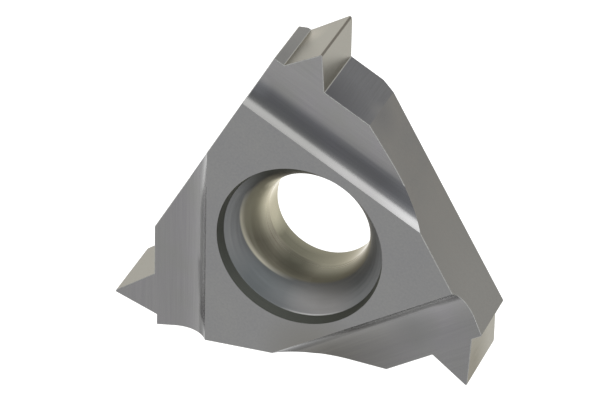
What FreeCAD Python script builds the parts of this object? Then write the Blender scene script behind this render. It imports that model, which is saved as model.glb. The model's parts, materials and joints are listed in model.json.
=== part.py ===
"""Laydown threading insert, size 16, with three 60 degree teeth and a screw hole.

The insert is one piece of cemented carbide. It is modelled as it is made: a
pressed triangular blank, three thread teeth ground at its corners, three rake
flutes ground across the top of those corners, and a seat for the screw's head.
Millimetres. The origin is on the hole's axis in the bottom face, +Z points out
of the top face, and the locating side of the first corner faces -X.
"""
import FreeCAD, Part
import math
import os

os.makedirs("parts", exist_ok=True)

# Blank
INSCRIBED_CIRCLE = 9.525      # diameter that touches the three sides, 3/8 inch
THICKNESS = 3.52
CORNERS = 3
BOTTOM_CHAMFER = 0.30         # 45 degrees, along the three bottom edges

# Thread tooth, in the corner's own directions: across is measured inwards from
# the locating side, along is measured beside that side from its middle
TOOTH_ANGLE = 60.0            # included angle of the two flanks
TOOTH_ACROSS = 1.34           # centre line of the tooth
TOOTH_ALONG = 7.23            # the nose
NOSE_RADIUS = 0.06
LEAD_SHOULDER_DEPTH = 1.51    # from the nose back to the short shoulder
TRAIL_SHOULDER_DEPTH = 1.415  # from the nose back to the long shoulder
ROOT_RADIUS = 0.05            # where a flank runs into its shoulder

# Rake flute, ground along the corner with a wheel of rounded profile
FLUTE_EDGE_ALONG = 3.63       # where the flute leaves the top face
FLUTE_RADIUS = 1.30
RAKE_DIP = 13.5               # degrees, downwards from the nose to the flute
NOSE_DROP = 0.08              # the nose lies this far below the top face

# Screw hole
RIM_DIAMETER = 6.43
RING_DEPTH = 0.45             # steep ring under the rim
RING_LEAN = 15.0              # degrees, how far the ring leans off the hole's axis
FOOT_RADIUS = 0.05            # inside corner between ring and seat
SEAT_RADIUS = 2.65            # convex seat of the screw's head
BORE_DIAMETER = 4.10

# How far a grinding or pressing tool runs past the surface that it cuts
OVERRUN = 1.0

INRADIUS = INSCRIBED_CIRCLE / 2
AXIS = FreeCAD.Vector(0, 0, 1)
CENTRE = FreeCAD.Vector(0, 0, 0)


def flat_point(x, y):
    """Point of an outline in the XY plane."""
    return FreeCAD.Vector(x, y, 0)


def rounded_outline(corners):
    """Closed wire through (point, radius) corners, each rounded by its radius."""
    count = len(corners)
    starts, ends, middles = [], [], []
    for index in range(count):
        point, radius = corners[index]
        before = corners[index - 1][0] - point
        after = corners[(index + 1) % count][0] - point
        before.normalize()
        after.normalize()
        half_angle = before.getAngle(after) / 2
        setback = radius / math.tan(half_angle)
        inwards = before + after
        inwards.normalize()
        starts.append(point + before * setback)
        ends.append(point + after * setback)
        middles.append(point + inwards * (radius / math.sin(half_angle) - radius))
    edges = []
    for index in range(count):
        following = (index + 1) % count
        if corners[index][1] > 0:
            edges.append(Part.Arc(starts[index], middles[index], ends[index]).toShape())
        edges.append(Part.LineSegment(ends[index], starts[following]).toShape())
    return Part.Wire(edges)


def corner_pattern(tool):
    """The tool at the first corner, repeated about the hole's axis."""
    return [tool.rotated(CENTRE, AXIS, 360.0 / CORNERS * turn) for turn in range(CORNERS)]


def pressed_blank():
    """Regular prism on the inscribed circle, with its bottom edges chamfered."""
    circumradius = INRADIUS / math.cos(math.pi / CORNERS)
    # the first side's middle lies on -X
    first = math.pi - math.pi / CORNERS
    step = 2 * math.pi / CORNERS
    angles = [first + step * turn for turn in range(CORNERS)]
    points = [flat_point(circumradius * math.cos(a), circumradius * math.sin(a)) for a in angles]
    outline = Part.makePolygon(points + points[:1])
    prism = Part.Face(outline).extrude(AXIS * THICKNESS)
    bottom_edges = [edge for edge in prism.Edges if edge.BoundBox.ZMax < THICKNESS / 2]
    return prism.makeChamfer(BOTTOM_CHAMFER, bottom_edges)


def tooth_grinder():
    """What grinding takes off at the first corner, all the way down.

    The outline runs along the short shoulder, up one flank, round the nose,
    down the other flank and along the long shoulder to the far side, and
    closes outside the blank.
    """
    half_angle = math.radians(TOOTH_ANGLE / 2)
    apex_along = TOOTH_ALONG + NOSE_RADIUS / math.sin(half_angle) - NOSE_RADIUS
    lead_along = TOOTH_ALONG - LEAD_SHOULDER_DEPTH
    trail_along = TOOTH_ALONG - TRAIL_SHOULDER_DEPTH
    lead_across = TOOTH_ACROSS - (apex_along - lead_along) * math.tan(half_angle)
    trail_across = TOOTH_ACROSS + (apex_along - trail_along) * math.tan(half_angle)
    outside_low = -OVERRUN
    outside_high = 2 * INSCRIBED_CIRCLE
    outline = [
        (flat_point(outside_low, lead_along), 0),
        (flat_point(lead_across, lead_along), ROOT_RADIUS),
        (flat_point(TOOTH_ACROSS, apex_along), NOSE_RADIUS),
        (flat_point(trail_across, trail_along), ROOT_RADIUS),
        (flat_point(outside_high, trail_along), 0),
        (flat_point(outside_high, outside_high), 0),
        (flat_point(outside_low, outside_high), 0),
    ]
    tool = Part.Face(rounded_outline(outline)).extrude(AXIS * (THICKNESS + 2 * OVERRUN))
    tool.translate(FreeCAD.Vector(-INRADIUS, 0, -OVERRUN))
    return tool


def flute_grinder():
    """Rake flute of the first corner: a profile carried straight across it.

    In the plane of along and height, the rake is a straight line that falls
    from the nose towards the middle, and a circular arc joins it, tangent, to
    the flute's edge on the top face.
    """
    dip = math.radians(RAKE_DIP)
    down_rake = FreeCAD.Vector(0, -math.cos(dip), -math.sin(dip))
    off_rake = FreeCAD.Vector(0, -math.sin(dip), math.cos(dip))
    nose = FreeCAD.Vector(0, TOOTH_ALONG, THICKNESS - NOSE_DROP)
    edge = FreeCAD.Vector(0, FLUTE_EDGE_ALONG, THICKNESS)
    edge_height = (edge - nose).dot(off_rake)
    edge_travel = (edge - nose).dot(down_rake)
    half_chord = math.sqrt(edge_height * (2 * FLUTE_RADIUS - edge_height))
    tangent_point = nose + down_rake * (edge_travel - half_chord)
    centre = tangent_point + off_rake * FLUTE_RADIUS
    wall_side = (edge - centre).normalize()
    arc_middle = centre + (wall_side - off_rake).normalize() * FLUTE_RADIUS
    # the wall's own slope carries the wheel's profile on above the top face
    rise = FreeCAD.Vector(0, wall_side.z, -wall_side.y)
    above_edge = edge + rise * (OVERRUN / rise.z)
    past_nose = nose - down_rake * INSCRIBED_CIRCLE
    above_nose = FreeCAD.Vector(0, past_nose.y, above_edge.z + INSCRIBED_CIRCLE)
    above_wall = FreeCAD.Vector(0, above_edge.y, above_nose.z)
    profile = Part.Wire([
        Part.LineSegment(above_edge, edge).toShape(),
        Part.Arc(edge, arc_middle, tangent_point).toShape(),
        Part.LineSegment(tangent_point, past_nose).toShape(),
        Part.LineSegment(past_nose, above_nose).toShape(),
        Part.LineSegment(above_nose, above_wall).toShape(),
        Part.LineSegment(above_wall, above_edge).toShape(),
    ])
    tool = Part.Face(profile).extrude(FreeCAD.Vector(2 * INSCRIBED_CIRCLE, 0, 0))
    tool.translate(FreeCAD.Vector(-INRADIUS - OVERRUN, 0, 0))
    return tool


def screw_hole_core():
    """Core of the pressed hole: a profile turned about its axis.

    From the top: a steep ring, a convex seat whose arc ends tangent to the
    bore, and the straight bore down to the bottom face.
    """
    rim_radius = RIM_DIAMETER / 2
    foot_radius = rim_radius - RING_DEPTH * math.tan(math.radians(RING_LEAN))
    bore_radius = BORE_DIAMETER / 2
    foot_height = THICKNESS - RING_DEPTH
    seat_cosine = 1 - (foot_radius - bore_radius) / SEAT_RADIUS
    seat_angle = math.acos(seat_cosine)
    seat_end_height = foot_height - SEAT_RADIUS * math.sin(seat_angle)

    def on_section(radius, height):
        return FreeCAD.Vector(radius, 0, height)

    seat_middle = on_section(
        bore_radius + SEAT_RADIUS * (1 - math.cos(seat_angle / 2)),
        seat_end_height + SEAT_RADIUS * math.sin(seat_angle / 2),
    )
    top = THICKNESS + OVERRUN
    axis_top = on_section(0, top)
    rim_top = on_section(rim_radius, top)
    rim = on_section(rim_radius, THICKNESS)
    foot = on_section(foot_radius, foot_height)
    seat_end = on_section(bore_radius, seat_end_height)
    bore_end = on_section(bore_radius, -OVERRUN)
    axis_end = on_section(0, -OVERRUN)
    section = Part.Wire([
        Part.LineSegment(axis_top, rim_top).toShape(),
        Part.LineSegment(rim_top, rim).toShape(),
        Part.LineSegment(rim, foot).toShape(),
        Part.Arc(foot, seat_middle, seat_end).toShape(),
        Part.LineSegment(seat_end, bore_end).toShape(),
        Part.LineSegment(bore_end, axis_end).toShape(),
        Part.LineSegment(axis_end, axis_top).toShape(),
    ])
    core = Part.Face(section).revolve(CENTRE, AXIS, 360)
    foot_edges = [
        edge for edge in core.Edges
        if isinstance(edge.Curve, Part.Circle)
        and abs(edge.Curve.Radius - foot_radius) < FOOT_RADIUS / 2
        and abs(edge.Curve.Center.z - foot_height) < FOOT_RADIUS / 2
    ]
    return core.makeFillet(FOOT_RADIUS, foot_edges)


def insert():
    """The finished insert."""
    body = pressed_blank()
    body = body.cut(corner_pattern(tooth_grinder()))
    body = body.cut(corner_pattern(flute_grinder()))
    body = body.cut(screw_hole_core())
    return body.removeSplitter()


finished = insert()
solid = finished.Solids[0]
print("solids", len(finished.Solids), "valid", solid.isValid(), "volume", round(solid.Volume, 3))
print("box", solid.BoundBox)
solid.exportStep("parts/insert.step")
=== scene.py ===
"""Looks of a laydown threading insert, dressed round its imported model."""

import json
import math

import bpy
import numpy as np
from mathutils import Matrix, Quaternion, Vector


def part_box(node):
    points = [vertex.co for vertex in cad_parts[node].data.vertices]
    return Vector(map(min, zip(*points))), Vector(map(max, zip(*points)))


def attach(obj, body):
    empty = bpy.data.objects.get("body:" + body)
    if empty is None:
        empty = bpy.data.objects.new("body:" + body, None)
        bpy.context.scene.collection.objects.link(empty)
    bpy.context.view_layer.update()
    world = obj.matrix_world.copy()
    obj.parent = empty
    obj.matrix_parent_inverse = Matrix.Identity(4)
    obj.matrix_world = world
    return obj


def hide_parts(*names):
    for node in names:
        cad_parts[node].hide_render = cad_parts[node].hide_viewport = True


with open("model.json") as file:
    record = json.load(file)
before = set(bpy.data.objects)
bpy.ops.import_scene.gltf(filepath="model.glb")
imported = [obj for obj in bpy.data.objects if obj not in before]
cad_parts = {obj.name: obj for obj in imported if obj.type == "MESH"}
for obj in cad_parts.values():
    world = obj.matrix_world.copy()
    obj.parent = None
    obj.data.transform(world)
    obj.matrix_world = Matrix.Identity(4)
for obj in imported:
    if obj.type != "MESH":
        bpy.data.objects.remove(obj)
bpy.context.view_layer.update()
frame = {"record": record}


# Insert. The real one is a single piece of cemented carbide: a blank pressed with its screw hole
# and sintered, then ground on its top, in three rake flutes and on three thread teeth. Its edges
# are honed by brushing before a thin nitride coat goes on. All sizes are in millimetres.
MM = 0.001
CORNERS = 3
box_low, box_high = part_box("insert")
THICKNESS = box_high.z / MM
INRADIUS = -box_low.x / MM
TOOTH_ALONG = box_high.y / MM
BOTTOM_CHAMFER = 0.30
NEXT_TO_NOTHING = 1e-9
SHARP_FROM = 30               # degrees between two faces whose edge is sharp
HONED_FROM = 80               # degrees between two faces whose edge is honed
HONE_WIDTH = 0.03

# finish of each surface, in the order of the insert's materials
LAPPED, FLUTED, FLANK, NOSE, ROOT, SHORT_SHOULDER, LONG_SHOULDER = range(7)
PRESSED, RINGED, SEATED, BORED, HONED = range(7, 12)


def arc(centre, radius, first, last, steps):
    """Points at centre + radius * (cos a, sin a), with a from first to last in degrees."""
    a = np.radians(np.linspace(first, last, steps + 1))
    return np.array(centre) + radius * np.stack([np.cos(a), np.sin(a)], axis=1)


def far_across(along):
    """Across value of the far side: the side's plane stands at 60 degrees to the near side.

    A corner's own directions are across, from its near side inwards, and along, beside that side
    from its middle towards the tooth.
    """
    return 3 * INRADIUS - math.sqrt(3) * np.asarray(along, float)


# Rake flute of a corner.
FLUTE_EDGE_ALONG = 3.63       # where the flute leaves the top face
FLUTE_RADIUS = 1.30
FLUTE_STEPS = 28
RAKE_DIP = 13.5               # degrees
NOSE_DROP = 0.08              # the nose lies this far below the top face


def flute_section():
    """Centre of the flute's arc in (along, height), and where the arc meets the rake.

    The rake falls from the nose at the dip; the arc touches it and passes through the edge on
    the top face, so its centre lies one radius off the rake's line.
    """
    dip = math.radians(RAKE_DIP)
    down = np.array([-math.cos(dip), -math.sin(dip)])
    off = np.array([-math.sin(dip), math.cos(dip)])
    nose = np.array([TOOTH_ALONG, THICKNESS - NOSE_DROP])
    edge = np.array([FLUTE_EDGE_ALONG, THICKNESS]) - nose
    half_chord = math.sqrt(edge @ off * (2 * FLUTE_RADIUS - edge @ off))
    tangent = nose + down * (edge @ down - half_chord)
    return tangent + off * FLUTE_RADIUS, tangent


def top_height(along):
    """Height of the top at each along value: flat, then the flute's arc, then the rake."""
    centre, tangent = flute_section()
    along = np.asarray(along, float)
    drop = np.clip(FLUTE_RADIUS**2 - (along - centre[0]) ** 2, 0, None)
    arc_height = centre[1] - np.sqrt(drop)
    rake_height = tangent[1] + (along - tangent[0]) * math.tan(math.radians(RAKE_DIP))
    height = np.where(along > tangent[0], rake_height, arc_height)
    return np.where(along <= FLUTE_EDGE_ALONG, THICKNESS, height)


def bottom_height(points):
    """Height of the underside's edge: the chamfer's plane rises 45 degrees near either side."""
    near = points[:, 0]
    far = (far_across(points[:, 1]) - points[:, 0]) / 2
    rise = BOTTOM_CHAMFER - np.minimum(near, far)
    return np.where(rise > NEXT_TO_NOTHING, rise, 0.0)


# Thread tooth of a corner, between its short and its long shoulder.
TOOTH_ANGLE = 60.0            # degrees, between the flanks
TOOTH_ACROSS = 1.34           # centre line of the tooth
NOSE_RADIUS = 0.06
NOSE_STEPS = 16
ROOT_RADIUS = 0.05
ROOT_STEPS = 8
LEAD_SHOULDER_DEPTH = 1.51    # from the nose back to the short shoulder
TRAIL_SHOULDER_DEPTH = 1.415  # from the nose back to the long shoulder


def corner_outline():
    """Runs of the plan outline of one corner, in turn, from the near side to the far side.

    Each run is (points, rounded, finish). Flanks and shoulders have a middle point where the
    bottom chamfer comes in or ends.
    """
    lean = TOOTH_ANGLE / 2
    half = math.radians(lean)
    apex = TOOTH_ALONG + NOSE_RADIUS / math.sin(half) - NOSE_RADIUS
    lead = TOOTH_ALONG - LEAD_SHOULDER_DEPTH
    trail = TOOTH_ALONG - TRAIL_SHOULDER_DEPTH
    inset = ROOT_RADIUS * math.tan(math.radians(45 - lean / 2))
    lead_root = TOOTH_ACROSS - (apex - lead) * math.tan(half) - inset
    trail_root = TOOTH_ACROSS + (apex - trail) * math.tan(half) + inset
    root_a = arc((lead_root, lead + ROOT_RADIUS), ROOT_RADIUS, -90, -lean, ROOT_STEPS)
    root_d = arc((trail_root, trail + ROOT_RADIUS), ROOT_RADIUS, 180 + lean, 270, ROOT_STEPS)
    nose_centre = (TOOTH_ACROSS, TOOTH_ALONG - NOSE_RADIUS)
    nose = arc(nose_centre, NOSE_RADIUS, 180 - lean, lean, NOSE_STEPS)
    # the chamfer's plane meets either flank where the far side is one chamfer away
    short = BOTTOM_CHAMFER - (far_across(nose[:, 1]) - nose[:, 0]) / 2
    lead_break = nose[0] - short[0] * np.array([math.sin(half), math.cos(half)])
    trail_break = nose[-1] + 2 * short[-1] * np.array([math.sin(half), -math.cos(half)])
    centre, tangent = flute_section()
    flute_turn = np.linspace(
        math.asin((FLUTE_EDGE_ALONG - centre[0]) / FLUTE_RADIUS),
        math.asin((tangent[0] - centre[0]) / FLUTE_RADIUS), FLUTE_STEPS + 1)
    steps = centre[0] + FLUTE_RADIUS * np.sin(flute_turn)
    # the flute leaves the far side past that side's middle, on the next corner's near side
    flute_exit = np.array([far_across(FLUTE_EDGE_ALONG), FLUTE_EDGE_ALONG])
    far_middle = INRADIUS * np.array([1.5, math.sin(math.pi / 3)])
    near_start = np.linalg.norm(flute_exit - far_middle)
    near_alongs = np.concatenate([[near_start], steps, [lead]])
    far_alongs = np.concatenate([[trail], steps[::-1]])
    near = np.column_stack([np.zeros(len(near_alongs)), near_alongs])
    far = np.column_stack([far_across(far_alongs), far_alongs])
    shoulder_a = np.array([[0, lead], [BOTTOM_CHAMFER, lead], root_a[0]])
    shoulder_d = np.array([root_d[-1], [far[0, 0] - 2 * BOTTOM_CHAMFER, trail], far[0]])
    return [
        (near, False, PRESSED),
        (shoulder_a, False, SHORT_SHOULDER),
        (root_a, True, ROOT),
        (np.array([root_a[-1], lead_break, nose[0]]), False, FLANK),
        (nose, True, NOSE),
        (np.array([nose[-1], trail_break, root_d[0]]), False, FLANK),
        (root_d, True, ROOT),
        (shoulder_d, False, LONG_SHOULDER),
        (far, False, PRESSED),
    ]


def lifted(points, heights):
    """Plan points and heights as points in space."""
    return np.column_stack([points, np.broadcast_to(heights, len(points))])


def walls(runs):
    """Faces that stand straight up from the bottom edge to the top, one for each flat run.

    A rounded run has one narrow face per step. The grinding coordinates of a wall are its height
    and the way travelled along the outline.
    """
    faces = []
    travelled = 0.0
    for points, rounded, finish in runs:
        steps = np.linalg.norm(np.diff(points, axis=0), axis=1)
        reach = travelled + np.concatenate([[0.0], np.cumsum(steps)])
        travelled = reach[-1]
        tops = lifted(points, top_height(points[:, 1]))
        bottoms = lifted(points, bottom_height(points))
        if rounded:
            corners = np.stack([tops[:-1], tops[1:], bottoms[1:], bottoms[:-1]], axis=1)
            spans = np.stack([reach[:-1], reach[1:], reach[1:], reach[:-1]], axis=1)
            faces += [(c, finish, np.column_stack([c[:, 2], s])) for c, s in zip(corners, spans)]
            continue
        # a pressed side has a straight bottom edge, so its two ends are enough
        kept = [0, -1] if finish == PRESSED else slice(None)
        wall = np.vstack([tops, bottoms[kept][::-1]])
        span = np.concatenate([reach, reach[kept][::-1]])
        faces.append((wall, finish, np.column_stack([wall[:, 2], span])))
    return faces


def level_face(points, heights, finish):
    """Face over plan points, with across and along as its grinding coordinates."""
    return lifted(points, heights), finish, points


# Screw hole.
RIM_RADIUS = 3.215
RING_DEPTH = 0.45
RING_LEAN = 15.0              # degrees, off the hole's axis
FOOT_RADIUS = 0.05
FOOT_STEPS = 6
SEAT_RADIUS = 2.65
SEAT_STEPS = 28
BORE_RADIUS = frame["record"]["mounts"][0]["dims"]["r_mm"]
HOLE_STEPS = 48               # round a third of the hole
HOLE_START = 180              # degrees, where the first corner's third of the hole lies
HOLE_END = 60


def third_of_a_circle(radius):
    """Arc about the hole's axis, in the first corner's across and along."""
    return [INRADIUS, 0.0] + arc((0, 0), radius, HOLE_END, HOLE_START, HOLE_STEPS)


def hole_section():
    """(radius, height) points of the hole: steep ring, foot fillet, convex seat, bore."""
    lean = math.radians(RING_LEAN)
    rim = np.array([RIM_RADIUS, THICKNESS])
    down = np.array([-math.sin(lean), -math.cos(lean)])
    inwards = np.array([-math.cos(lean), math.sin(lean)])
    foot = rim + down * (RING_DEPTH / math.cos(lean))
    seat_angle = math.acos(1 - (foot[0] - BORE_RADIUS) / SEAT_RADIUS)
    seat_end = foot[1] - SEAT_RADIUS * math.sin(seat_angle)
    seat_centre = np.array([BORE_RADIUS + SEAT_RADIUS, seat_end])
    # the fillet's centre stands one radius off the ring and off the seat
    start = rim + inwards * FOOT_RADIUS - seat_centre
    reach = start @ down
    fall = -reach - math.sqrt(reach**2 - start @ start + (SEAT_RADIUS + FOOT_RADIUS) ** 2)
    fillet_centre = rim + inwards * FOOT_RADIUS + down * fall
    off_seat = fillet_centre - seat_centre
    ring_end = math.degrees(math.atan2(-inwards[1], -inwards[0]))
    seat_start = math.degrees(math.atan2(-off_seat[1], -off_seat[0]))
    seat_top = math.degrees(math.atan2(off_seat[1], off_seat[0]))
    fillet = arc(fillet_centre, FOOT_RADIUS, ring_end, seat_start, FOOT_STEPS)
    seat = arc(seat_centre, SEAT_RADIUS, seat_top, 180, SEAT_STEPS)
    return np.vstack([rim, fillet, seat[1:], [BORE_RADIUS, 0.0]])


def hole_faces():
    """The hole's section turned through a third about its axis.

    Each section point goes to radius * (cos t, sin t) at its height, with t over the third. The
    grinding coordinates are the way down the section and the way round the bore.
    """
    section = hole_section()
    drop = np.concatenate([[0.0], np.cumsum(np.linalg.norm(np.diff(section, axis=0), axis=1))])
    turn = np.radians(np.linspace(HOLE_START, HOLE_END, HOLE_STEPS + 1))
    surface = np.stack([
        section[:, None, 0] * np.cos(turn) + INRADIUS,
        section[:, None, 0] * np.sin(turn),
        np.broadcast_to(section[:, None, 1], (len(section), len(turn))),
    ], axis=-1)
    chart = np.stack(np.broadcast_arrays(drop[:, None], turn * BORE_RADIUS), axis=-1)

    def quads(grid):
        picked = [grid[1:, :-1], grid[1:, 1:], grid[:-1, 1:], grid[:-1, :-1]]
        return np.stack(picked, axis=2).reshape(-1, 4, grid.shape[-1])

    finishes = np.full(len(section) - 1, SEATED)
    finishes[0], finishes[-1] = RINGED, BORED
    return list(zip(quads(surface), np.repeat(finishes, HOLE_STEPS), quads(chart)))


def third_of_the_insert():
    """Faces of one corner, each as (points in space, finish, grinding coordinates).

    The flute and the rake carry one section straight across the corner. The flat top and the
    underside reach in to the hole.
    """
    runs = corner_outline()
    near, short_shoulder, _, lead_flank, nose, trail_flank, _, long_shoulder, far = [
        points for points, rounded, finish in runs]
    outline = np.vstack([points[:-1] for points, rounded, finish in runs] + [far[-1:]])

    flute_rows = [np.array([[0.0, a], [far_across(a), a]]) for a in near[1:-1, 1]]
    strips = [np.vstack([a, b[::-1]]) for a, b in zip(flute_rows[:-1], flute_rows[1:])]
    rake_start = flute_section()[1][0]
    rake = outline[outline[:, 1] > rake_start - NEXT_TO_NOTHING][::-1]
    ground = [level_face(face, top_height(face[:, 1]), FLUTED) for face in strips + [rake]]
    top = np.vstack([near[:1], flute_rows[0], third_of_a_circle(RIM_RADIUS)])[::-1]

    near_inset = near[:1] + [BOTTOM_CHAMFER, 0]
    far_inset = far[-1:] - BOTTOM_CHAMFER * np.array([0.5, math.cos(math.pi / 6)])
    bottom_edge = outline[bottom_height(outline) == 0]
    bottom = np.vstack([near_inset, bottom_edge, far_inset, third_of_a_circle(BORE_RADIUS)])
    chamfers = [
        np.vstack([near[:1], short_shoulder[:2], near_inset]),
        np.vstack([long_shoulder[2:], far[-1:], far_inset, long_shoulder[1:2]]),
        np.vstack([lead_flank[1:2], nose, trail_flank[1:2]]),
    ]
    chamfered = [level_face(face, bottom_height(face), PRESSED) for face in chamfers]
    flats = [level_face(top, THICKNESS, LAPPED), level_face(bottom, 0.0, LAPPED)]
    return walls(runs) + ground + flats + chamfered + hole_faces()


def insert_mesh(name):
    """The third repeated about the hole's axis, with points that coincide made one."""
    faces = third_of_the_insert()
    sizes = np.array([len(points) for points, finish, chart in faces])
    local = np.vstack([points for points, finish, chart in faces])
    charts = np.vstack([chart for points, finish, chart in faces])
    finishes = np.array([finish for points, finish, chart in faces])
    local[:, 0] -= INRADIUS
    copies = []
    for index in range(CORNERS):
        a = 2 * math.pi / CORNERS * index
        spin = [[math.cos(a), math.sin(a), 0], [-math.sin(a), math.cos(a), 0], [0, 0, 1]]
        copies.append(local @ np.array(spin))
    points = np.vstack(copies)
    first, corner = np.unique(
        np.round(points, 5), axis=0, return_index=True, return_inverse=True)[1:]
    sizes = np.tile(sizes, CORNERS)
    ends = np.cumsum(sizes)
    loops = [loop.tolist() for loop in np.split(corner.ravel(), ends[:-1])]
    mesh = bpy.data.meshes.new(name)
    mesh.from_pydata((points[first] * MM).tolist(), [], loops)
    mesh.polygons.foreach_set("material_index", np.tile(finishes, CORNERS).astype(np.int32))
    mesh.polygons.foreach_set("use_smooth", np.ones(len(sizes), bool))
    chart = mesh.uv_layers.new(name="grinding")
    chart.data.foreach_set("uv", np.tile(charts * MM, (CORNERS, 1)).astype(np.float32).ravel())
    mesh.validate()
    mesh.set_sharp_from_angle(angle=math.radians(SHARP_FROM))
    return mesh


insert = bpy.data.objects.new("insert_coated", insert_mesh("insert_coated"))
bpy.context.scene.collection.objects.link(insert)
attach(insert, "root")
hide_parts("insert")

# only the right-angled edges are honed; the flutes' edges with the top stay crisp
hone = insert.modifiers.new("hone", "BEVEL")
hone.width = HONE_WIDTH * MM
hone.segments = 3
hone.limit_method = "ANGLE"
hone.angle_limit = math.radians(HONED_FROM)
hone.use_clamp_overlap = False
hone.miter_outer = "MITER_SHARP"
hone.material = HONED
weigh = insert.modifiers.new("flat faces stay flat", "WEIGHTED_NORMAL")
weigh.mode = "FACE_AREA"
weigh.weight = 100
weigh.keep_sharp = True


def linear(code):
    """sRGB hex to linear RGBA."""
    parts = [int(code[i:i + 2], 16) / 255 for i in (0, 2, 4)]
    curve = [c / 12.92 if c <= 0.04045 else ((c + 0.055) / 1.055) ** 2.4 for c in parts]
    return (*curve, 1.0)


def add(tree, kind, inputs=None, **settings):
    """Adds a node of that kind with its settings and inputs.

    An input that is a socket is linked, and one that is a hex code is set as a colour.
    """
    node = tree.nodes.new("ShaderNode" + kind)
    for key, value in settings.items():
        setattr(node, key, value)
    for key, value in (inputs or {}).items():
        if isinstance(value, bpy.types.NodeSocket):
            tree.links.new(value, node.inputs[key])
        else:
            node.inputs[key].default_value = linear(value) if isinstance(value, str) else value
    return node


def new_metal(name, edge_tint):
    """New metal for the insert, whose reflection at grazing angles has that tint.

    Returns its tree, its shader and its coordinates: Object is the place on the insert, and UV
    holds the grinding coordinates.
    """
    material = bpy.data.materials.new(name)
    material.use_nodes = True
    insert.data.materials.append(material)
    tree = material.node_tree
    shader = tree.nodes["Principled BSDF"]
    shader.inputs["Metallic"].default_value = 1.0
    shader.inputs["Specular Tint"].default_value = linear(edge_tint)
    return tree, shader, add(tree, "TexCoord").outputs


def spots(tree, place, spacing, shift=0.0):
    """Noise from 0 to 1, with spots of that spacing in mm along each direction of the place."""
    scaled = add(tree, "Mapping", {
        "Vector": place, "Location": [shift] * 3, "Scale": [1 / (s * MM) for s in spacing]})
    noise = add(tree, "TexNoise", {"Vector": scaled.outputs[0], "Scale": 1.0, "Detail": 2.0})
    return add(tree, "MapRange", {
        "Value": noise.outputs["Fac"], "From Min": 0.3, "From Max": 0.7}).outputs["Result"]


def layered(tree, colour, layers):
    """The colour under layers of (where from 0 to 1, colour), the last on top."""
    for where, tone in layers:
        # inputs 6 and 7 and output 2 are the colour sockets of a Mix node
        colour = add(tree, "Mix", {0: where, 6: colour, 7: tone}, data_type="RGBA").outputs[2]
    return colour


def patched(tree, place, colour, patches, within=None):
    """The colour under patches of (centre, full, faded, colour), all lengths in mm.

    A patch covers all that is nearer its centre than the first distance, and it has faded out at
    the second. A strip given as within, from 0 to 1, keeps the patches inside it.
    """
    for centre, full, faded, tone in patches:
        away = add(tree, "VectorMath", {
            0: place, 1: [c * MM for c in centre]}, operation="DISTANCE").outputs["Value"]
        where = add(tree, "MapRange", {
            "Value": away, "From Min": full * MM, "From Max": faded * MM,
            "To Min": 1.0, "To Max": 0.0}).outputs["Result"]
        if within is not None:
            where = add(tree, "Math", {0: within, 1: where}, operation="MULTIPLY").outputs[0]
        colour = layered(tree, colour, [(where, tone)])
    return colour


def between(tree, value, empty, full):
    """0 where the value, in mm, is at empty, rising to 1 where it is at full."""
    return add(tree, "MapRange", {
        "Value": value, "From Min": empty * MM, "From Max": full * MM}).outputs["Result"]


def dress(tree, shader, colour, pattern, smooth, rough, relief=0.0):
    """Gives the shader its colour, and a roughness and a relief in mm that follow the pattern."""
    tree.links.new(colour, shader.inputs["Base Color"])
    roughness = add(tree, "MapRange", {"Value": pattern, "To Min": smooth, "To Max": rough})
    tree.links.new(roughness.outputs["Result"], shader.inputs["Roughness"])
    if relief > 0:
        bump = add(tree, "Bump", {"Height": pattern, "Strength": 1.0, "Distance": relief * MM})
        tree.links.new(bump.outputs["Normal"], shader.inputs["Normal"])


# places that more than one finish shares, in mm from the insert's origin
# where painted shade darkens the top and the flute
THIRD_FLUTE_END = (2.9, -3.7, 2.9)
PAINTED_HIGHLIGHT_SPOT = (-2.05, -0.35, 1.3)   # a painted highlight on the bare carbide
PALE_SPOT = (1.57, -1.32, 0.9)      # where the bare carbide is a little greyer


def lapped_top():
    """Nitride coat over lapped carbide: matt, even, with a grain that only just shows.

    Lapping pits are about 0.01 mm. They are drawn at 0.09 mm, two pixels, so that they show at
    all. By the end of the third flute it is darker and browner, which is painted shade.
    """
    tree, shader, coordinates = new_metal("nitride_coat_on_lapped_top", "fffbee")
    place = coordinates["Object"]
    pits = spots(tree, place, (0.09, 0.09, 0.09))
    clouds = spots(tree, place, (1.6, 1.6, 1.6), shift=7.0)
    cloudy = layered(tree, "616161", [(pits, "676766")])
    coat = layered(tree, "5f5f60", [(pits, "656565"), (clouds, cloudy)])
    # painted shade by the end of the third flute
    coat = patched(tree, place, coat, [(THIRD_FLUTE_END, 0.9, 2.4, "5c5b58")])
    dress(tree, shader, coat, pits, smooth=0.38, rough=0.46, relief=0.0004)


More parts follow.
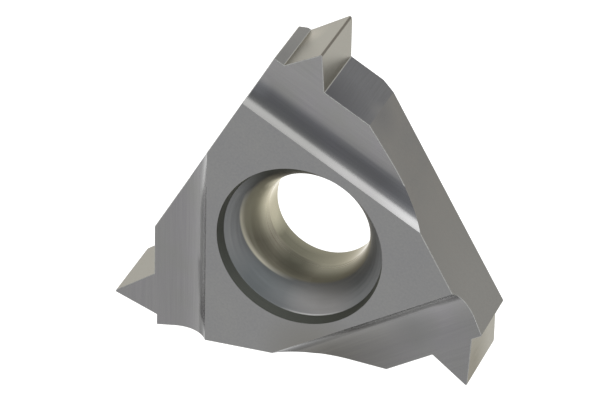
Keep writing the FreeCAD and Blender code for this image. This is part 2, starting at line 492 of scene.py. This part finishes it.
def ground_flute():
    """Coat over a ground flute: satin, with the wheel's streaks running across the corner.

    The streaks are 0.01 mm apart on a real insert and are drawn 0.06 mm apart. The coat has faint
    purplish spots 1 to 2 mm wide. Painted light makes it lighter at the ends of the first flute
    and high on the walls of the second and third. Painted shade makes it darker and browner at
    the far end of the third flute, and darker at the foot of the third flute's wall and along the
    near half of the first flute's wall.
    """
    tree, shader, coordinates = new_metal("nitride_coat_on_ground_flute", "ffffff")
    place = coordinates["Object"]
    chart = coordinates["UV"]
    streaks = spots(tree, chart, (3.0, 0.06, 1.0))
    purplish = layered(tree, "5e5d5f", [(streaks, "636263")])
    painted_light_tone = layered(tree, "6b6b6b", [(streaks, "707070")])
    painted_shade_tone = layered(tree, "484745", [(streaks, "4c4b48")])
    clouds = spots(tree, place, (1.5, 1.5, 1.5), shift=3.0)
    coat = layered(tree, "5d5d5c", [(streaks, "616160"), (clouds, purplish)])
    along = add(tree, "SeparateXYZ", {0: chart}).outputs["Y"]
    high_wall = between(tree, along, 4.05, 3.78)
    whole_wall = between(tree, along, 4.15, 3.95)
    coat = patched(tree, place, coat, [
        ((3.2, 3.8, 3.3), 0.6, 2.2, painted_light_tone),                   # far end of the first flute, painted light
        ((4.9, -0.1, 2.7), 0.3, 1.3, "575757"),              # foot of the third flute's wall, painted shade
        ((-4.72, 4.20, 3.00), 0.1, 0.65, "707070")])         # near end of the first flute, painted light
    coat = patched(tree, place, coat, [
        ((-3.0, -2.1, 3.3), 2.0, 4.0, "a0a09f"),             # second flute, painted light high on the wall
        ((4.5, 0.6, 3.3), 1.5, 2.6, "a0a09f")], high_wall)   # third flute, painted light high on the wall
    coat = patched(tree, place, coat, [
        ((-3.6, 3.72, 3.4), 1.8, 3.4, "575756")], whole_wall)  # near half of the first flute, painted shade on the wall
    # painted shade at the far end of the third flute
    coat = patched(tree, place, coat, [(THIRD_FLUTE_END, 0.6, 4.4, painted_shade_tone)])
    coat = patched(tree, place, coat, [
        ((1.4, -5.0, 3.4), 1.5, 3.4, "303030")], high_wall)  # far end of the third flute, painted shade high on the wall
    dress(tree, shader, coat, streaks, smooth=0.18, rough=0.22, relief=0.0003)


def ground_profile(name, dark, light, roughness, patches=()):
    """Coat over a wall of the tooth's profile: fine grinding streaks straight up the wall.

    They are drawn 0.05 mm apart, several times as coarse as the real ones.
    """
    tree, shader, coordinates = new_metal(name, "fffbee")
    place = coordinates["Object"]
    chart = coordinates["UV"]
    streaks = spots(tree, chart, (1.5, 0.05, 1.0))
    coat = patched(tree, place, layered(tree, dark, [(streaks, light)]), patches)
    dress(tree, shader, coat, streaks, roughness - 0.03, roughness + 0.03, relief=0.0003)


def pressed_skin():
    """Coat over the pressed and sintered skin: a soft satin with rounded grains and wide clouds.

    The carbide's grains are about 0.002 mm, and their clusters are drawn at 0.12 mm. The coat is
    lighter towards the third corner, and darker beside the first long shoulder, which is painted
    shade.
    """
    tree, shader, coordinates = new_metal("nitride_coat_on_pressed_skin", "fffbee")
    place = coordinates["Object"]
    grains = spots(tree, place, (0.12, 0.12, 0.12))
    clouds = spots(tree, place, (1.2, 1.2, 1.2), shift=5.0)
    cloudy = layered(tree, "5d5c5c", [(grains, "626160")])
    coat = layered(tree, "5a5a5b", [(grains, "5f5f5f"), (clouds, cloudy)])
    coat = patched(tree, place, coat, [
        ((7.0, 1.0, 1.7), 1.5, 6.0, "656565"),               # towards the third corner
        ((-0.4, 5.75, 1.9), 0.2, 1.2, "575759")])            # beside the first long shoulder, painted shade
    dress(tree, shader, coat, grains, smooth=0.31, rough=0.39, relief=0.0006)


def hole_ring():
    """Coat on the steep ring under the rim: dull and dark, with faint rings from the die."""
    tree, shader, coordinates = new_metal("nitride_coat_on_hole_ring", "fffbee")
    place = coordinates["Object"]
    chart = coordinates["UV"]
    rings = spots(tree, chart, (0.05, 3.0, 1.0))
    # the ring's dark colour is partly painted shade
    coat = layered(tree, "494b47", [(rings, "4f514d")])
    # painted shade on the side of the first corner
    coat = patched(tree, place, coat, [((-1.5, 2.6, 3.2), 1.6, 3.0, "2e302c")])
    dress(tree, shader, coat, rings, smooth=0.50, rough=0.58)


def screw_seat():
    """Seat of the screw's head: rings from the die, and a coat that ends at a tilted limit.

    The coat reached only the upper seat, where painted shade darkens it on the side of the first
    corner and a painted highlight runs along the ring's foot. Its limit is a straw-coloured line
    on a slightly tilted plane. The bare carbide below is warmer and smoother the lower it lies,
    with painted shade on the side of the first corner and painted highlights in places.
    The rings are drawn 0.13 mm apart, a few times as coarse as the real ones.
    """
    tree, shader, coordinates = new_metal("nitride_coat_fading_out_on_screw_seat", "fffaee")
    place = coordinates["Object"]
    chart = coordinates["UV"]
    limit = 2.455
    limit_tilt = (0.11, -0.061, 1.0)                         # the limit is a height along this
    level = add(tree, "VectorMath", {0: place, 1: limit_tilt}, operation="DOT_PRODUCT")
    height = add(tree, "SeparateXYZ", {0: place}).outputs["Z"]
    rings = spots(tree, chart, (0.13, 6.0, 1.0))
    coat = patched(tree, place, layered(tree, "555657", [(rings, "646565")]), [
        ((-0.5, -2.8, 2.7), 0.4, 1.9, "4c4f50"),             # between second and third corner
        ((2.0, -1.9, 2.8), 0.4, 1.6, "6e6d6c"),              # nearer the third corner
        ((-1.5, 2.6, 2.9), 1.6, 3.0, "383936")])             # side of the first corner, painted shade
    ring_foot = between(tree, height, 3.03, 3.05)
    coat = patched(tree, place, coat, [
        ((1.95, -2.42, 3.06), 0.2, 1.3, "8c8c8b")], ring_foot)  # painted highlight along the ring's foot
    coat_limit = between(tree, level.outputs["Value"], limit, limit - 0.05)
    coat = patched(tree, place, coat, [
        ((-1.7, -1.8, 2.35), 1.0, 2.4, "969386")], coat_limit)  # straw-coloured
    bare = patched(tree, place, layered(tree, "635f54", [(rings, "727064")]), [
        # painted highlight
        (PAINTED_HIGHLIGHT_SPOT, 0.5, 1.8, "9d9a88"),
        (PALE_SPOT, 0.5, 1.5, "706e61"),
        ((0.25, -2.06, 1.25), 0.3, 1.0, "4e4d43"),           # darker
        ((-1.6, 2.2, 2.5), 0.7, 1.4, "2c2b28"),              # side of the first corner, painted shade
        ((-2.12, 0.68, 1.85), 0.1, 0.55, "c6c3b0")])         # brightest painted highlight
    below = between(tree, level.outputs["Value"], limit - 0.08, limit - 0.20)
    upper, lower = 0.55, 0.18                                # roughness of the seat, high and low
    smooth, rough = [add(tree, "MapRange", {
        "Value": height, "From Min": 1.95 * MM, "From Max": 0.95 * MM,
        "To Min": upper + step, "To Max": lower + step}).outputs["Result"] for step in (-0.04, 0.04)]
    dress(tree, shader, layered(tree, coat, [(below, bare)]), rings, smooth, rough)


def bore():
    """Bare carbide in the bore, as sintered: warm grey and fairly smooth, lighter low down.

    Painted highlights brighten it on the left as the insert is seen.
    """
    tree, shader, coordinates = new_metal("sintered_carbide_in_bore", "fffaee")
    place = coordinates["Object"]
    chart = coordinates["UV"]
    height = add(tree, "SeparateXYZ", {0: place}).outputs["Z"]
    low = between(tree, height, 0.5, 0.05)
    rings = spots(tree, chart, (0.07, 2.0, 1.0))
    bare = layered(tree, "58574b", [(rings, "5e5d51"), (low, "747263")])
    # the first two patches are painted highlights
    bare = patched(tree, place, bare, [
        (PAINTED_HIGHLIGHT_SPOT, 0.5, 2.0, "9d9a88"),
        ((-1.45, -1.45, 0.5), 0.2, 0.9, "979482"),
        (PALE_SPOT, 0.5, 1.5, "6b695c")])
    dress(tree, shader, bare, rings, smooth=0.08, rough=0.14)


def honed_edge():
    """Brushed edge: rounded, so it catches a light line; its lighter colour is a painted highlight."""
    tree, shader, coordinates = new_metal("nitride_coat_on_honed_edge", "fffbee")
    place = coordinates["Object"]
    nicks = spots(tree, place, (0.15, 0.15, 0.15))
    dress(tree, shader, layered(tree, "6c6c6b", [(nicks, "7a7a78")]), nicks, smooth=0.26, rough=0.34)


# in the order of the finishes' numbers
lapped_top()
ground_flute()
ground_profile("nitride_coat_on_ground_flank", "6c6c6d", "757574", 0.32, [
    ((7.85, -0.3, 2.9), 0.5, 2.2, "3e3c3a"),       # third tooth, painted shade
    ((-4.25, 5.9, 0.8), 0.2, 0.9, "84827f")])      # low at the first tooth's root, painted light
# the nose's darker, browner coat is painted shade along the round nose
ground_profile("nitride_coat_on_ground_nose", "53504c", "5b5854", 0.32)
# the root's lighter coat is a painted highlight, added to the light its fillet catches
ground_profile("nitride_coat_in_ground_root", "787877", "848483", 0.30)
ground_profile("nitride_coat_on_short_shoulder", "626263", "6a6a69", 0.32, [
    ((-4.50, 5.72, 0.3), 0.5, 2.2, "6e6e6d")])     # low at the first tooth, painted light
# the long shoulder's darker, bluer coat is painted shade for the shaded floor in front of it
ground_profile("nitride_coat_on_long_shoulder", "505155", "57585c", 0.32, [
    ((-2.57, 5.81, 3.3), 0.5, 2.2, "434449"),      # high at the first tooth's root, painted shade
    ((-0.55, 5.81, 1.9), 0.0, 0.6, "5c5c5e")])     # by the first corner's far side, where the painted shade is lighter
pressed_skin()
hole_ring()
screw_seat()
bore()
honed_edge()


# Floor. A sheet of white acrylic that is lit from below, as on a photographer's light table, so
# that almost no shadow shows round the insert and its screw hole looks white.
FLOOR_REACH = 2.0             # metres
FLOOR_HEIGHT = -0.02 * MM     # a hair below the underside, so that the two faces do not coincide
floor_mesh = bpy.data.meshes.new("floor")
floor_mesh.from_pydata(
    [(x * FLOOR_REACH, y * FLOOR_REACH, FLOOR_HEIGHT) for x, y in ((-1, -1), (1, -1), (1, 1), (-1, 1))],
    [], [(0, 1, 2, 3)])
floor = bpy.data.objects.new("floor", floor_mesh)
bpy.context.scene.collection.objects.link(floor)
acrylic = bpy.data.materials.new("white_acrylic_lit_from_below")
acrylic.use_nodes = True
sheet = acrylic.node_tree.nodes["Principled BSDF"]
sheet.inputs["Base Color"].default_value = linear("383838")
sheet.inputs["Roughness"].default_value = 0.9
sheet.inputs["Specular IOR Level"].default_value = 0.0
sheet.inputs["Emission Color"].default_value = linear("ffffff")
sheet.inputs["Emission Strength"].default_value = 1.32
floor_mesh.materials.append(acrylic)


# Tent. White cloth round the table, open overhead towards the camera. The opening is darker and
# slightly bluish, and it is what makes the flutes and the seat look dark in parts.
OPENING_TOWARDS = (-0.10, 0.357, 0.929)
# angle from the opening's middle in degrees, and the radiance of the cloth there
TENT_STOPS = [
    (0, 0.84), (10, 0.84), (16, 0.93), (22, 1.04), (28, 1.25), (35, 1.52), (42, 1.82), (54, 1.98),
    (66, 2.05), (82, 2.2), (180, 2.2)]
BRIGHTEST = 3.0               # the curve's values run from 0 to 1 of this
world = bpy.data.worlds.new("tent")
world.use_nodes = True
bpy.context.scene.world = world
tree = world.node_tree
cloth = tree.nodes["Background"]
direction = add(tree, "TexCoord").outputs["Generated"]
cosine = add(tree, "VectorMath", {0: direction, 1: OPENING_TOWARDS}, operation="DOT_PRODUCT")
angle = add(tree, "Math", {0: cosine.outputs["Value"]}, operation="ARCCOSINE").outputs[0]
share = add(tree, "Math", {0: angle, 1: math.pi}, operation="DIVIDE").outputs[0]
curve = add(tree, "FloatCurve", {"Value": share})
points = curve.mapping.curves[0].points
while len(points) < len(TENT_STOPS):
    points.new(0.5, 0.5)
for point, (degrees, radiance) in zip(points, TENT_STOPS):
    point.location = (degrees / 180, radiance / BRIGHTEST)
curve.mapping.update()
strength = add(tree, "Math", {0: curve.outputs[0], 1: BRIGHTEST}, operation="MULTIPLY")
tree.links.new(strength.outputs[0], cloth.inputs["Strength"])
beyond_opening = add(tree, "MapRange", {
    "Value": angle, "From Min": math.radians(20), "From Max": math.radians(45)})
tint = layered(tree, "f1f4fb", [(beyond_opening.outputs["Result"], "ffffff")])
tree.links.new(tint, cloth.inputs["Color"])


# Softbox. One wide, low lamp on the camera's side, which lights the teeth and the walls that face
# the camera.
SOFTBOX_DISTANCE = 0.6        # metres
SOFTBOX_ELEVATION = 18.5      # degrees, as are the width and the height seen from the insert
SOFTBOX_WIDTH = 100
SOFTBOX_HEIGHT = 27
SOFTBOX_RADIANCE = 3.0


def away_from_insert(azimuth, elevation):
    """Unit vector at that azimuth, from +Y towards +X, and elevation, both in degrees."""
    a, e = math.radians(azimuth), math.radians(elevation)
    return Vector((math.sin(a) * math.cos(e), math.cos(a) * math.cos(e), math.sin(e)))


lamp = bpy.data.lights.new("low_softbox", "AREA")
lamp.shape = "RECTANGLE"
lamp.size = 2 * SOFTBOX_DISTANCE * math.tan(math.radians(SOFTBOX_WIDTH / 2))
lamp.size_y = 2 * SOFTBOX_DISTANCE * math.tan(math.radians(SOFTBOX_HEIGHT / 2))
lamp.energy = SOFTBOX_RADIANCE * math.pi * lamp.size * lamp.size_y
softbox = bpy.data.objects.new("low_softbox", lamp)
bpy.context.scene.collection.objects.link(softbox)
back = away_from_insert(0, SOFTBOX_ELEVATION)
softbox.location = back * SOFTBOX_DISTANCE
softbox.rotation_mode = "QUATERNION"
softbox.rotation_quaternion = back.to_track_quat("Z", "Y")
softbox.visible_camera = False


# Camera. It stands at the photograph's viewing angle, with a long lens, and is rolled so that the
# first corner points up and the third down to the right. Its target is in millimetres.
CAMERA_TARGET = (-0.989, 1.708, 3.520)
CAMERA_AZIMUTH = -0.467
CAMERA_ELEVATION = 55.985
CAMERA_ROLL = -144.296
CAMERA_DISTANCE = 169.48
lens = bpy.data.cameras.new("photo_view")
lens.lens = 278.76
lens.sensor_width = 36
lens.clip_start, lens.clip_end = 0.01, 10
camera = bpy.data.objects.new("photo_view", lens)
bpy.context.scene.collection.objects.link(camera)
back = away_from_insert(CAMERA_AZIMUTH, CAMERA_ELEVATION)
camera.location = (Vector(CAMERA_TARGET) + back * CAMERA_DISTANCE) * MM
camera.rotation_mode = "QUATERNION"
camera.rotation_quaternion = Quaternion(back, math.radians(CAMERA_ROLL)) @ back.to_track_quat("Z", "Y")
bpy.context.scene.camera = camera
bpy.context.scene.view_settings.view_transform = "Standard"
